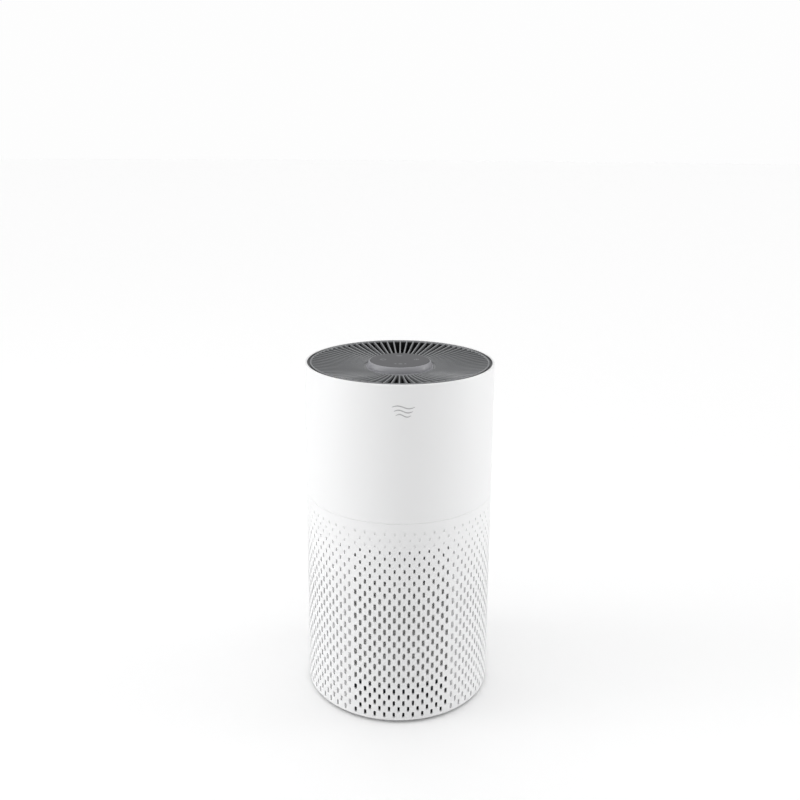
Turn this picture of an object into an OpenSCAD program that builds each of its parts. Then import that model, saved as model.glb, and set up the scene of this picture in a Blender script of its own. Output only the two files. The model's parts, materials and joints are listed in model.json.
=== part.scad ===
// Cylindrical air purifier: perforated intake shell below, plain shell above, radial outlet grille
// with a touch panel on top. The base cover twists off, the housing lifts away from the filter, and
// the impeller spins on its motor shaft. Millimetres, +Z up, front towards -Y, origin on the floor.

/* [Body] */
// Outer diameter of both shells
body_d = 220; // [205:1:270]
// Height from the floor to the rim
body_h = 400; // [385:1:500]
// Height of the seam between the perforated and the plain shell
seam_z = 244; // [215:1:255]
// Wall thickness of both shells
shell_wall = 2.4; // [2:0.1:3]
// Radius of the rounded rim
rim_round = 1.2; // [0.6:0.1:1.6]

/* [Base] */
// Thickness of the rubber foot ring
foot_h = 1.5; // [1:0.1:3]
// Width of the rubber foot ring
foot_w = 8; // [5:0.5:12]
// Thickness of the base cover's floor
cover_t = 2.2; // [2:0.1:3]
// Distance that the base cover stands back from the shell
cover_inset = 4; // [2:0.5:6]
// Depth of the finger pockets under the base cover
grip_depth = 16; // [12:0.5:20]
// Width of the grip bar between the finger pockets
grip_bar = 16; // [12:1:22]
// Angle that the base cover turns to unlock
twist_deg = 20; // [10:1:30]

/* [Intake slots] */
// Width of one intake slot
slot_w = 2.8; // [2:0.1:4]
// Length of one intake slot
slot_h = 30; // [8:1:30]
// Columns of slots in each sixth of the shell
slot_cols = 10; // [6:1:14]
// Rows of slots
slot_rows = 5; // [3:1:6]

/* [Filter] */
// Air space between the shell and the filter
filter_space = 19.6; // [15:0.1:24]
// Depth of the pleats
pleat_depth = 22; // [14:0.5:26]
// Number of pleats
pleat_n = 60; // [40:1:80]
// Thickness of the moulded end caps
cap_t = 5; // [3:0.5:8]
// Thickness of the foam gasket on top of the filter
gasket_t = 4; // [2:0.5:6]

/* [Fan] */
// Radius of the impeller
fan_r = 82; // [70:1:90]
// Height of the fan chamber
chamber_h = 66; // [60:1:80]
// Number of impeller blades
blade_n = 9; // [5:1:13]
// Radius of the air inlet under the impeller
inlet_r = 49; // [42:0.5:52]
// Radius of the motor shaft
shaft_r = 4; // [3:0.1:5]
// Radius of the motor
motor_r = 32; // [28:0.5:36]
// Height of the motor
motor_h = 38; // [34:1:42]
// Number of guide vanes above the impeller
vane_n = 11; // [7:1:17]
// Height of the guide vanes
vane_h = 36; // [24:1:40]
// Radius of the drum that holds the motor and the power board
drum_r = 60; // [56:0.5:64]

/* [Outlet grille] */
// Number of radial fins
fin_n = 76; // [48:1:90]
// Thickness of one fin
fin_t = 1.7; // [1.2:0.1:2.2]
// Depth of the dish from the rim to the hub
dish_d = 6.5; // [3:0.1:9]
// Outer radius of the grille's hub
hub_r = 42.5; // [41:0.5:48]

/* [Control panel] */
// Radius of the touch panel
panel_r = 34.8; // [30:0.1:34.8]
// Thickness of the touch panel
panel_t = 2; // [1.5:0.1:2.5]

/* [Emblem] */
// Width of the three air waves on the front
emblem_w = 26; // [14:1:36]
// Distance from the rim down to the emblem's centre
emblem_drop = 29; // [20:1:60]

/* [Hidden] */
$fn = 120;

// Clearance between pieces that move apart, and between pieces seated in each other
gap = 0.3;
fit = 0.15;
eps = 1;

// Shells
R = body_d / 2;
shell_ri = R - shell_wall;
shell_z0 = foot_h + cover_t + gap;
lap_h = 10;
seam_bevel = 0.4;
plate_t = 3;
plate_z1 = seam_z - lap_h;
plate_z0 = plate_z1 - plate_t;
shelf_w = 5;
shelf_t = 3;
skirt_t = 2;
skirt_r = shell_ri - fit;

// Intake slots: columns evenly spaced across a sixth of the shell, rows staggered by half a pitch
sector_half_deg = 28;
slot_pitch = 2 * R * sin(sector_half_deg) / (slot_cols - 0.5);
slot_z0 = shell_z0 + 14;
slot_row_pitch = (plate_z0 - shelf_t - 6 - slot_z0 - slot_h) / (slot_rows - 0.5);

// Base
flange_r = R - cover_inset;
foot_r = R - 14;
spigot_r = R - 10;
spigot_t = 2.5;
spigot_z1 = shell_z0 + 10;
lug_out = 3;
lug_deg = 12;
lug_z0 = shell_z0 + 4;
lug_h = 4;
chassis_h = 12;
chassis_ri = spigot_r + lug_out + 0.4;
stop_deg = 3;
grip_r = 42;
drum_wall = 2.5;
base_drum_r = grip_r + 4;
base_drum_z1 = foot_h + grip_depth + drum_wall;

// Filter
filter_r = shell_ri - filter_space;
cap_lip = 1.5;
cap_lip_h = 6;
mesh_t = 0.6;
mesh_r = filter_r - cap_lip - 2 * fit;
pleat_r1 = mesh_r - mesh_t - fit;
pleat_r0 = pleat_r1 - pleat_depth;
pleat_band = 4.3;
carbon_t = 2;
carbon_r = pleat_r0 - pleat_band - fit;
filter_z0 = base_drum_z1 + gap;
filter_z1 = plate_z0 - gap - gasket_t;
media_z0 = filter_z0 + cap_t;
media_z1 = filter_z1 - cap_t;
gasket_r1 = filter_r - 10;
tab_w = 14;
tab_t = 1.2;

// Air inlet into the fan chamber
bell_flare = 9;
bell_h = 12;
bell_t = 1.5;
bell_flange_w = 10;
bell_foot_r = inlet_r + bell_flare;
hole_r = bell_foot_r - 4;
guard_t = 2.2;
guard_r = hole_r + 12;
guard_ring_w = 2;
guard_rings = 4;
guard_screw_r = guard_r - 4;
screw_r = 1.5;
screw_head_r = 2.8;
screw_head_h = 1.4;

// Fan chamber, impeller and guide vanes
duct_r = skirt_r - skirt_t - 0.45;
duct_t = 2;
duct_z1 = plate_z1 + chamber_h;
fan_z1 = duct_z1 - 4;
fan_plate_t = 2.5;
fan_eye_r = inlet_r + bell_t + 1.5;
fan_eye_z = plate_z1 + bell_h - 4;
shroud_t = 2;
shroud_rise = 20;
boss_r = 12;
boss_h = 24;
blade_t = 2;
vane_z1 = duct_z1 + vane_h;
vane_ring_t = 2;
vane_r0 = drum_r + 0.2;
mount_flange_r = 48;
mount_t = 3;
mount_z0 = duct_z1 + 2;
mount_z1 = mount_z0 + mount_t;
mount_r = drum_r - 2.5;
damper_h = 3;
damper_r = 4.5;
motor_screw_ring = motor_r + 4;
mount_screw_ring = 53;
motor_z0 = mount_z1 + damper_h;
motor_z1 = motor_z0 + motor_h;
motor_wall = 1.2;
motor_flange_r = motor_r + 8;
end_t = 2;
bearing_r = 11;
bearing_w = 7;
shaft_play = 0.03;
rotor_r = 17.5;
rotor_h = 16;
stator_h = 18;
shaft_z0 = fan_z1 - boss_h - 10;
nut_h = 7.8;

// Drum, grille and control panel
hub_ri = hub_r - 2.9;
hub_z0 = body_h - 21;
hub_z1 = body_h - 7.5;
seat_z = body_h - 16;
seat_r = hub_ri - 3.6;
drum_t = 2;
drum_cone_z = vane_z1 + 4;
drum_top_r = hub_r + 1;
board_z = vane_z1 + 16;
board_t = 1.6;
board_r = 44;
ring_shelf_z = body_h - 17;
ring_shelf_w = 4;
rim_ring_t = 3;
rim_groove = 4;
rim_wall = 0.75;
rim_groove_w = 2;
bead_r = skirt_r - rim_wall - rim_groove_w - fit;
bead_w = 3.5;
fin_r1 = bead_r - bead_w + 0.5;
fin_curve = 1.38;
puck_flare = 2.8;
panel_z0 = body_h - panel_t;
control_board_z = body_h - 12;
guide_t = 1.4;
pipe_r = 3;
pipe_ring = 22;

// Power inlet in the back of the perforated shell
socket_z = shell_z0 + 25;
socket_w = 23.2;
socket_h = 17.6;
socket_depth = 15;
socket_face_y = sqrt(pow(R, 2) - pow(socket_w / 2, 2)) - 0.5;
socket_flange = 3;
socket_hole_r = 4.2;
socket_hole_x = 3.8;
pin_r = 1.2;
pin_x = 4.3;
channel_w = 18;
channel_t = 1.6;
channel_y0 = shell_ri - 10.6;
channel_y1 = shell_ri - 1.1;
channel_z0 = socket_z + socket_h / 2 + socket_flange + 1;
channel_z1 = plate_z0 - shelf_t - 3.4;

// Emblem
wave_n = 3;
wave_pitch = 5;
wave_t = 1.7;
wave_amp = 1.5;
wave_pts = 16;
inlay = 0.6;

white = [0.93, 0.93, 0.92];
grey = [0.47, 0.48, 0.49];
dark = [0.2, 0.2, 0.21];

// Disc of radius r from z upwards
module disc(r, z, h) translate([0, 0, z]) cylinder(r = r, h = h);

// Ring between two radii and two heights
module ring(ro, ri, z0, z1) {
  difference() {
    disc(ro, z0, z1 - z0);
    disc(ri, z0 - eps, z1 - z0 + 2 * eps);
  }
}

// Part of a ring, centred on angle a
module arc_block(ro, ri, z0, z1, a, deg) {
  translate([0, 0, z0]) rotate([0, 0, a - deg / 2])
    rotate_extrude(angle = deg) translate([ri, 0]) square([ro - ri, z1 - z0]);
}

// Height of the dished fin tops at radius r
function dish(r) = body_h - dish_d * (1 - pow((r - hub_r) / (bead_r - bead_w - hub_r), fin_curve));

// ---- base, which stays on the floor ----
module foot_ring() {
  color(dark) ring(foot_r + foot_w / 2, foot_r - foot_w / 2, 0, foot_h);
}

module grip_pockets() {
  for (s = [0, 180]) rotate([0, 0, s]) translate([0, 0, foot_h - eps])
    linear_extrude(grip_depth + eps) intersection() {
      circle(r = grip_r);
      translate([-grip_r, grip_bar / 2]) square([2 * grip_r, grip_r]);
    }
}

module base_cover() {
  color(white) difference() {
    union() {
      disc(flange_r, foot_h, cover_t);
      ring(spigot_r, spigot_r - spigot_t, foot_h, spigot_z1);
      disc(base_drum_r, foot_h, base_drum_z1 - foot_h);
      for (a = [0, 120, 240])
        arc_block(spigot_r + lug_out, spigot_r - 1, lug_z0, lug_z0 + lug_h, a, lug_deg);
      for (a = [30 : 60 : 330]) rotate([0, 0, a])
        translate([base_drum_r - 1, -1, foot_h]) cube([spigot_r - base_drum_r - 1, 2, 9]);
    }
    grip_pockets();
  }
}

// ---- filter cartridge ----
module filter_bottom_cap() {
  color([0.25, 0.27, 0.3]) union() {
    disc(filter_r, filter_z0, cap_t);
    ring(filter_r, filter_r - cap_lip, filter_z0, media_z0 + cap_lip_h);
  }
}

module filter_top_cap() {
  color([0.25, 0.27, 0.3]) union() {
    ring(filter_r, carbon_r - carbon_t - 1, media_z1, filter_z1);
    ring(filter_r, filter_r - cap_lip, media_z1 - cap_lip_h, filter_z1);
  }
}

function zigzag(n, r1, r0) =
  [for (i = [0 : 2 * n - 1]) let (r = i % 2 == 0 ? r1 : r0, a = 180 * i / n) [r * cos(a), r * sin(a)]];

module filter_media() {
  color([0.94, 0.94, 0.92]) translate([0, 0, media_z0]) linear_extrude(media_z1 - media_z0)
    difference() {
      polygon(zigzag(pleat_n, pleat_r1, pleat_r0));
      polygon(zigzag(pleat_n, pleat_r1 - pleat_band, pleat_r0 - pleat_band));
    }
}

module carbon_layer() {
  color([0.12, 0.12, 0.13]) ring(carbon_r, carbon_r - carbon_t, media_z0, media_z1);
}

module prefilter_mesh() {
  color([0.8, 0.8, 0.79]) ring(mesh_r, mesh_r - mesh_t, media_z0, media_z1);
}

module filter_gasket() {
  color([0.15, 0.15, 0.15]) ring(gasket_r1, guard_r + 2, filter_z1, filter_z1 + gasket_t);
}

// Strap folded flat under the bottom cap, towards the front
module filter_pull_tab() {
  color([0.3, 0.45, 0.7]) difference() {
    translate([-tab_w / 2, -filter_r + 4, filter_z0 - tab_t])
      cube([tab_w, filter_r - 4 - base_drum_r - 2, tab_t]);
    translate([0, -filter_r + 14, filter_z0 - tab_t - eps]) cylinder(d = 8, h = tab_t + 2 * eps);
  }
}

// ---- housing ----
// Slots of one sixth of the shell, all pushed out along the sector's own direction
module slot_sector() {
  for (c = [0 : slot_cols - 1], r = [0 : slot_rows - 1])
    translate([(c - (slot_cols - 1) / 2) * slot_pitch - slot_w / 2, -1.1 * R,
               slot_z0 + slot_row_pitch * (r + (c % 2) / 2)])
      cube([slot_w, 0.4 * R, slot_h]);
}

module socket_window(clear) {
  translate([-socket_w / 2 - clear, R - 12, socket_z - socket_h / 2 - clear])
    cube([socket_w + 2 * clear, 14, socket_h + 2 * clear]);
}

module lower_shell() {
  color(white) difference() {
    rotate_extrude() polygon([
      [R, shell_z0], [R, seam_z - seam_bevel], [R - seam_bevel, seam_z], [shell_ri, seam_z],
      [shell_ri, plate_z0], [shell_ri - shelf_w, plate_z0], [shell_ri - shelf_w, plate_z0 - shelf_t],
      [shell_ri, plate_z0 - shelf_t - 3], [shell_ri, shell_z0]]);
    difference() {
      for (s = [0 : 5]) rotate([0, 0, 60 * s]) slot_sector();
      translate([-16, 0, 0]) cube([32, 2 * R, socket_z + socket_h + 6]);
    }
    socket_window(fit);
  }
}

// Ring inside the bottom of the shell, with a rib at each end of every lug's travel
module chassis_ring() {
  travel = lug_deg / 2 + gap * 0.6;
  color(dark) union() {
    ring(shell_ri - fit, chassis_ri, shell_z0, shell_z0 + chassis_h);
    for (a = [0, 120, 240], e = [travel + stop_deg / 2, -twist_deg - travel - stop_deg / 2])
      arc_block(chassis_ri + 1, spigot_r + 0.4, shell_z0, shell_z0 + chassis_h, a + e, stop_deg);
  }
}

module power_inlet() {
  color(dark) difference() {
    union() {
      translate([-socket_w / 2, socket_face_y - socket_depth, socket_z - socket_h / 2])
        cube([socket_w, socket_depth, socket_h]);
      translate([-socket_w / 2 - socket_flange, shell_ri - 4.2, socket_z - socket_h / 2 - socket_flange])
        cube([socket_w + 2 * socket_flange, 2.8, socket_h + 2 * socket_flange]);
    }
    translate([0, socket_face_y + eps, socket_z]) rotate([90, 0, 0])
      linear_extrude(socket_depth - 4 + eps) union() {
        square([2 * socket_hole_x, 2 * socket_hole_r], center = true);
        for (s = [-1, 1]) translate([s * socket_hole_x, 0]) circle(r = socket_hole_r, $fn = 48);
      }
  }
}

module inlet_pins() {
  color([0.8, 0.7, 0.45]) for (s = [-1, 1])
    translate([s * pin_x, socket_face_y - socket_depth + 4, socket_z]) rotate([-90, 0, 0])
      cylinder(r = pin_r, h = socket_depth - 6, $fn = 32);
}

// Cover of the wires that climb the back from the inlet to the fan chamber
module wire_channel() {
  color([0.8, 0.8, 0.8]) difference() {
    translate([-channel_w / 2, channel_y0, channel_z0])
      cube([channel_w, channel_y1 - channel_y0, channel_z1 - channel_z0]);
    translate([-channel_w / 2 + channel_t, channel_y0 + channel_t, channel_z0 - eps])
      cube([channel_w - 2 * channel_t, 20, channel_z1 - channel_z0 + 2 * eps]);
  }
}

module guard_screw_places() {
  for (a = [45 : 90 : 315]) rotate([0, 0, a]) translate([guard_screw_r, 0, 0]) children();
}

module plenum_plate() {
  color([0.75, 0.75, 0.75]) difference() {
    ring(shell_ri - fit, hole_r, plate_z0, plate_z1);
    guard_screw_places() disc(screw_r + fit, plate_z0 - eps, plate_t + 2 * eps);
  }
}

function bell(b, t) =
  [inlet_r + t + (bell_flare - t) * (1 - cos(b)), plate_z1 + bell_h - (bell_h - t) * sin(b)];

module inlet_ring() {
  flange_w = bell_foot_r + bell_flange_w;
  color([0.7, 0.7, 0.7]) difference() {
    rotate_extrude() polygon(concat(
      [for (b = [0 : 15 : 75]) bell(b, 0)], [[bell_foot_r, plate_z1]],
      [[flange_w, plate_z1], [flange_w, plate_z1 + bell_t]],
      [for (b = [90 : -15 : 0]) bell(b, bell_t)]));
    guard_screw_places() disc(screw_r + fit, plate_z1 - eps, bell_t + 2 * eps);
  }
}

module fan_guard() {
  color(dark) difference() {
    union() {
      ring(guard_r, hole_r, plate_z0 - guard_t, plate_z0);
      for (k = [1 : guard_rings])
        ring(hole_r * k / (guard_rings + 1) + guard_ring_w, hole_r * k / (guard_rings + 1),
             plate_z0 - guard_t, plate_z0);
      for (a = [0, 90]) rotate([0, 0, a])
        translate([-hole_r - 1, -1.25, plate_z0 - guard_t]) cube([2 * hole_r + 2, 2.5, guard_t]);
    }
    guard_screw_places() disc(screw_r + fit, plate_z0 - guard_t - eps, guard_t + 2 * eps);
  }
}

module guard_screws() {
  color("silver") guard_screw_places() union() {
    disc(screw_head_r, plate_z0 - guard_t - screw_head_h, screw_head_h);
    disc(screw_r, plate_z0 - guard_t - 0.1, guard_t + plate_t + bell_t + 0.1);
  }
}

module fan_duct() {
  color([0.8, 0.8, 0.8]) ring(duct_r, duct_r - duct_t, plate_z1, duct_z1);
}

module mount_screw_places() {
  for (a = [0 : 90 : 270]) rotate([0, 0, a]) translate([mount_screw_ring, 0, 0]) children();
}

module diffuser() {
  color(dark) difference() {
    union() {
      ring(duct_r, duct_r - duct_t, duct_z1, vane_z1);
      ring(vane_r0 + vane_ring_t, vane_r0, duct_z1, vane_z1);
      ring(vane_r0 + 1, mount_flange_r, duct_z1, mount_z0);
      for (v = [0 : vane_n - 1]) rotate([0, 0, 360 * v / vane_n])
        arc_vane();
    }
    mount_screw_places() disc(screw_r + fit, duct_z1 - eps, 2 + 2 * eps);
  }
}

// Upright vane whose plan is an arc from the drum out to the duct
module arc_vane() {
  span = duct_r - duct_t - vane_r0 - vane_ring_t;
  arc_r = 48;
  half = asin((span + 2) / 2 / arc_r);
  translate([0, 0, duct_z1]) linear_extrude(vane_h)
    translate([vane_r0 + vane_ring_t + span / 2, -arc_r * cos(half)])
      polygon(concat(
        [for (i = [-3 : 3]) let (a = 90 - half * i / 3) (arc_r + 1) * [cos(a), sin(a)]],
        [for (i = [3 : -1 : -3]) let (a = 90 - half * i / 3) (arc_r - 1) * [cos(a), sin(a)]]));
}

module motor_screw_places() {
  for (a = [45, 165, 285]) rotate([0, 0, a]) translate([motor_screw_ring, 0, 0]) children();
}

module motor_mount() {
  color([0.65, 0.65, 0.68]) difference() {
    ring(mount_r, 14, mount_z0, mount_z1);
    motor_screw_places() disc(screw_r + fit, mount_z0 - eps, mount_t + 2 * eps);
    mount_screw_places() disc(screw_r + fit, mount_z0 - eps, mount_t + 2 * eps);
  }
}

module mount_screws() {
  color("silver") mount_screw_places() union() {
    disc(screw_head_r, mount_z1, screw_head_h);
    disc(screw_r, duct_z1, mount_z1 - duct_z1 + 0.1);
  }
}

module motor_dampers() {
  color([0.1, 0.1, 0.1]) motor_screw_places()
    ring(damper_r, screw_r + fit, mount_z1, motor_z0);
}

module motor_screws() {
  color("silver") motor_screw_places() union() {
    disc(screw_head_r, motor_z0 + end_t, screw_head_h);
    disc(screw_r, mount_z0, motor_z0 + end_t - mount_z0 + 0.1);
  }
}

module motor_housing() {
  color([0.5, 0.51, 0.53]) difference() {
    union() {
      ring(motor_r, motor_r - motor_wall, motor_z0, motor_z1);
      ring(motor_flange_r, 9, motor_z0, motor_z0 + end_t);
      ring(motor_r, 9, motor_z1 - end_t, motor_z1);
      ring(bearing_r + 3, bearing_r + 0.05, motor_z0 + end_t - 0.1, motor_z0 + end_t + bearing_w);
      ring(bearing_r + 3, bearing_r + 0.05, motor_z1 - end_t - bearing_w, motor_z1 - end_t + 0.1);
    }
    motor_screw_places() disc(screw_r + fit, motor_z0 - eps, end_t + 2 * eps);
  }
}

module bearings() {
  color("silver") for (z = [motor_z0 + end_t, motor_z1 - end_t - bearing_w])
    ring(bearing_r, shaft_r + shaft_play, z, z + bearing_w);
}

module stator() {
  mid = (motor_z0 + motor_z1) / 2;
  color([0.72, 0.42, 0.2]) ring(motor_r - motor_wall - fit, rotor_r + 1.5, mid - stator_h / 2, mid + stator_h / 2);
}

module inner_drum() {
  color([0.3, 0.3, 0.31]) union() {
    rotate_extrude() polygon([
      [drum_r, mount_z0], [drum_r, drum_cone_z], [drum_top_r, hub_z0], [seat_r, hub_z0],
      [seat_r, hub_z0 - drum_t], [drum_top_r - drum_t, hub_z0 - drum_t],
      [drum_r - drum_t, drum_cone_z - 1], [drum_r - drum_t, mount_z0]]);
    for (a = [45 : 90 : 315]) rotate([0, 0, a])
      translate([board_r - 3, -4, board_z - 3]) cube([drum_inner(board_z) - board_r + 4, 8, 3]);
  }
}

// Inner radius of the drum's cone at height z
function drum_inner(z) = let (k = (z - drum_cone_z) / (hub_z0 - drum_cone_z))
  (drum_r - drum_t) * (1 - k) + (drum_top_r - drum_t) * k;

module power_board() {
  color([0.15, 0.35, 0.2]) union() {
    disc(board_r, board_z, board_t);
    for (p = [[22, 14], [8, 24]]) translate([p[0], p[1], board_z + board_t - 0.1])
      cylinder(r = 6, h = 14);
    translate([-26, -12, board_z + board_t - 0.1]) cube([24, 20, 12]);
    translate([4, -20, board_z + board_t - 0.1]) cube([20, 5, 10]);
  }
}

module upper_shell() {
  color(white) difference() {
    rotate_extrude() polygon(concat(
      [[R - seam_bevel, seam_z], [R, seam_z + seam_bevel]],
      [for (a = [0 : 15 : 90]) [R - rim_round + rim_round * cos(a), body_h - rim_round + rim_round * sin(a)]],
      [[shell_ri + 0.3, body_h], [shell_ri, body_h - 0.3], [shell_ri, ring_shelf_z],
       [shell_ri - ring_shelf_w, ring_shelf_z], [shell_ri - ring_shelf_w, ring_shelf_z - 3],
       [shell_ri, ring_shelf_z - 8], [shell_ri, seam_z + 4], [skirt_r - skirt_t, seam_z + 1],
       [skirt_r - skirt_t, plate_z1], [skirt_r, plate_z1], [skirt_r, seam_z]]));
    waves(0, fit);
  }
}

module rim_ring() {
  groove_r = skirt_r - rim_wall;
  inner_r = groove_r - rim_groove_w;
  color(dark) rotate_extrude() polygon([
    [skirt_r, ring_shelf_z], [skirt_r, body_h - 0.8], [groove_r, body_h - 0.8],
    [groove_r, body_h - rim_groove], [inner_r, body_h - rim_groove],
    [inner_r, ring_shelf_z + rim_ring_t], [inner_r - bead_w, ring_shelf_z + rim_ring_t],
    [inner_r - bead_w, ring_shelf_z]]);
}

module fin() {
  r0 = hub_r - 0.5;
  rotate([90, 0, 0]) linear_extrude(fin_t, center = true) polygon(concat(
    [for (i = [0 : 8]) let (r = hub_r + (bead_r - bead_w - hub_r) * i / 8) [r, dish(r)]],
    [[fin_r1, body_h - 0.6], [fin_r1, ring_shelf_z + rim_ring_t + 0.5], [r0, hub_z0], [r0, dish(hub_r)]]));
}

module top_grille() {
  bead = bead_w / 2;
  color(grey) union() {
    rotate_extrude() polygon(concat(
      [[bead_r - bead_w, ring_shelf_z + rim_ring_t], [bead_r, ring_shelf_z + rim_ring_t]],
      [for (a = [0 : 15 : 180]) [bead_r - bead + bead * cos(a), body_h - bead + bead * sin(a)]]));
    rotate_extrude() polygon([
      [seat_r, hub_z0], [hub_r, hub_z0], [hub_r, hub_z1], [hub_ri, hub_z1], [hub_ri, seat_z],
      [seat_r, seat_z]]);
    for (i = [0 : fin_n - 1]) rotate([0, 0, 360 * (i + 0.5) / fin_n + 90]) fin();
  }
}

// Ring that carries the touch panel and its board on the grille's hub
module control_housing() {
  top_r = panel_r + 0.2;
  foot = hub_ri - 0.3;
  color([0.62, 0.63, 0.64]) rotate_extrude() polygon([
    [foot, seat_z], [foot, hub_z1], [top_r + puck_flare, hub_z1], [top_r + puck_flare - 0.2, body_h - 5],
    [top_r + 1.2, body_h - 1.2], [top_r + 0.5, body_h - 0.2], [top_r, body_h - 0.2], [top_r, panel_z0],
    [top_r - 2, panel_z0], [top_r - 2, panel_z0 - 1.5], [top_r + 0.2, control_board_z + 4],
    [top_r + 0.2, control_board_z], [29, control_board_z], [29, control_board_z - 2],
    [top_r + 1, control_board_z - 2], [top_r + 1, seat_z]]);
}

module control_board() {
  color([0.12, 0.3, 0.18]) union() {
    disc(panel_r - 1, control_board_z, board_t);
    translate([-6, -6, control_board_z - 1.5]) cube([12, 12, 1.6]);
  }
}

module light_guide() {
  z0 = control_board_z + board_t;
  color([0.9, 0.9, 0.95]) union() {
    disc(pipe_ring + pipe_r + 1, z0, guide_t);
    for (a = [0 : 90 : 270]) rotate([0, 0, a]) translate([pipe_ring, 0, 0])
      disc(pipe_r, z0 + guide_t - 0.1, panel_z0 - z0 - guide_t + 0.1);
    for (a = [-24, 24]) rotate([0, 0, a - 90]) translate([pipe_ring, 0, 0])
      disc(pipe_r, z0 + guide_t - 0.1, panel_z0 - z0 - guide_t + 0.1);
  }
}

module touch_panel() {
  color([0.42, 0.42, 0.43]) union() {
    disc(panel_r, panel_z0, panel_t - 0.4);
    translate([0, 0, body_h - 0.4]) cylinder(r1 = panel_r, r2 = panel_r - 0.4, h = 0.4);
  }
}

// Three wavy strokes of falling length, let into the front of the upper shell
module wave(w, t) {
  polygon(concat(
    [for (i = [0 : wave_pts]) [w * (i / wave_pts - 0.5), t / 2 + wave_amp * sin(360 * i / wave_pts)]],
    [for (i = [wave_pts : -1 : 0]) [w * (i / wave_pts - 0.5), -t / 2 + wave_amp * sin(360 * i / wave_pts)]]));
}

module waves(proud, clear) {
  intersection() {
    translate([0, 0, body_h - emblem_drop]) rotate([90, 0, 0]) linear_extrude(R + 10)
      for (k = [0 : wave_n - 1]) translate([0, (1 - k) * wave_pitch])
        wave(emblem_w * (1 - 0.17 * k) + clear, wave_t + clear);
    ring(R + (proud > 0 ? -0.05 : 5), R - inlay - (proud > 0 ? 0 : fit), body_h - 60, body_h - 5);
  }
}

module emblem() {
  color([0.6, 0.6, 0.6]) waves(1, 0);
}

// ---- fan, which spins ----
function shroud(a, t) =
  [fan_eye_r + t + (fan_r - fan_eye_r - t) * (1 - cos(a)), fan_eye_z + shroud_rise * sin(a) - t];

module blade() {
  arc_r = 46;
  lean = 38;
  translate([fan_r * 0.66, 0]) rotate([0, 0, lean])
    translate([0, -arc_r]) polygon(concat(
      [for (i = [-4 : 4]) let (a = 90 + 30 * i / 4) (arc_r + blade_t / 2) * [cos(a), sin(a)]],
      [for (i = [4 : -1 : -4]) let (a = 90 + 30 * i / 4) (arc_r - blade_t / 2) * [cos(a), sin(a)]]));
}

module impeller() {
  color([0.85, 0.86, 0.88]) difference() {
    union() {
      disc(fan_r, fan_z1 - fan_plate_t, fan_plate_t);
      disc(boss_r, fan_z1 - boss_h, boss_h);
      rotate_extrude() polygon(concat(
        [for (a = [0 : 15 : 90]) shroud(a, 0)], [for (a = [90 : -15 : 0]) shroud(a, shroud_t)]));
      intersection() {
        translate([0, 0, fan_eye_z]) linear_extrude(fan_z1 - fan_eye_z - 1)
          for (k = [0 : blade_n - 1]) rotate([0, 0, 360 * k / blade_n]) blade();
        rotate_extrude() polygon(concat(
          [for (a = [0 : 15 : 90]) shroud(a, 0.5)], [[fan_r, fan_z1 - 1], [20, fan_z1 - 1],
           [20, fan_z1 - 16], [fan_eye_r - 12, fan_eye_z + 12], [fan_eye_r, fan_eye_z + 6]]));
      }
    }
    disc(shaft_r + shaft_play, fan_z1 - boss_h - eps, boss_h + 2 * eps);
  }
}

module motor_shaft() {
  color("silver") disc(shaft_r, shaft_z0, motor_z1 - 1 - shaft_z0);
}

module rotor() {
  mid = (motor_z0 + motor_z1) / 2;
  color([0.3, 0.3, 0.32]) ring(rotor_r, shaft_r + shaft_play, mid - rotor_h / 2, mid + rotor_h / 2);
}

module lock_nut() {
  color("silver") translate([0, 0, fan_z1 - boss_h - nut_h - 0.1]) difference() {
    union() {
      cylinder(r = 6.5, h = nut_h - 1.6, $fn = 6);
      translate([0, 0, nut_h - 1.7]) cylinder(r = 8, h = 1.7);
    }
    translate([0, 0, -eps]) cylinder(r = shaft_r + shaft_play, h = nut_h + 2 * eps);
  }
}

foot_ring();
base_cover();
filter_bottom_cap();
filter_media();
carbon_layer();
prefilter_mesh();
filter_top_cap();
filter_gasket();
filter_pull_tab();
lower_shell();
chassis_ring();
power_inlet();
inlet_pins();
wire_channel();
plenum_plate();
inlet_ring();
fan_guard();
guard_screws();
fan_duct();
diffuser();
motor_mount();
mount_screws();
motor_dampers();
motor_screws();
motor_housing();
stator();
bearings();
inner_drum();
power_board();
upper_shell();
rim_ring();
top_grille();
control_housing();
control_board();
light_guide();
touch_panel();
emblem();
impeller();
motor_shaft();
rotor();
lock_nut();
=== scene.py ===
# %% [markdown]
# # A round air purifier, dressed around its CAD frame
# The engineering model gives every piece its size and place. This lesson gives the pieces that show
# their fine shape and finish: a white shell with some 1,850 moulded slots and dimples, a dished grille
# of thin fins, a touch panel, and the filter that appears when the housing is lifted off its base.
# Every new piece is a surface worked out with numpy in metres, in the frame of the CAD model.

import json
import math

import bpy
import bmesh
import numpy as np
from mathutils import Matrix, Vector


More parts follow.
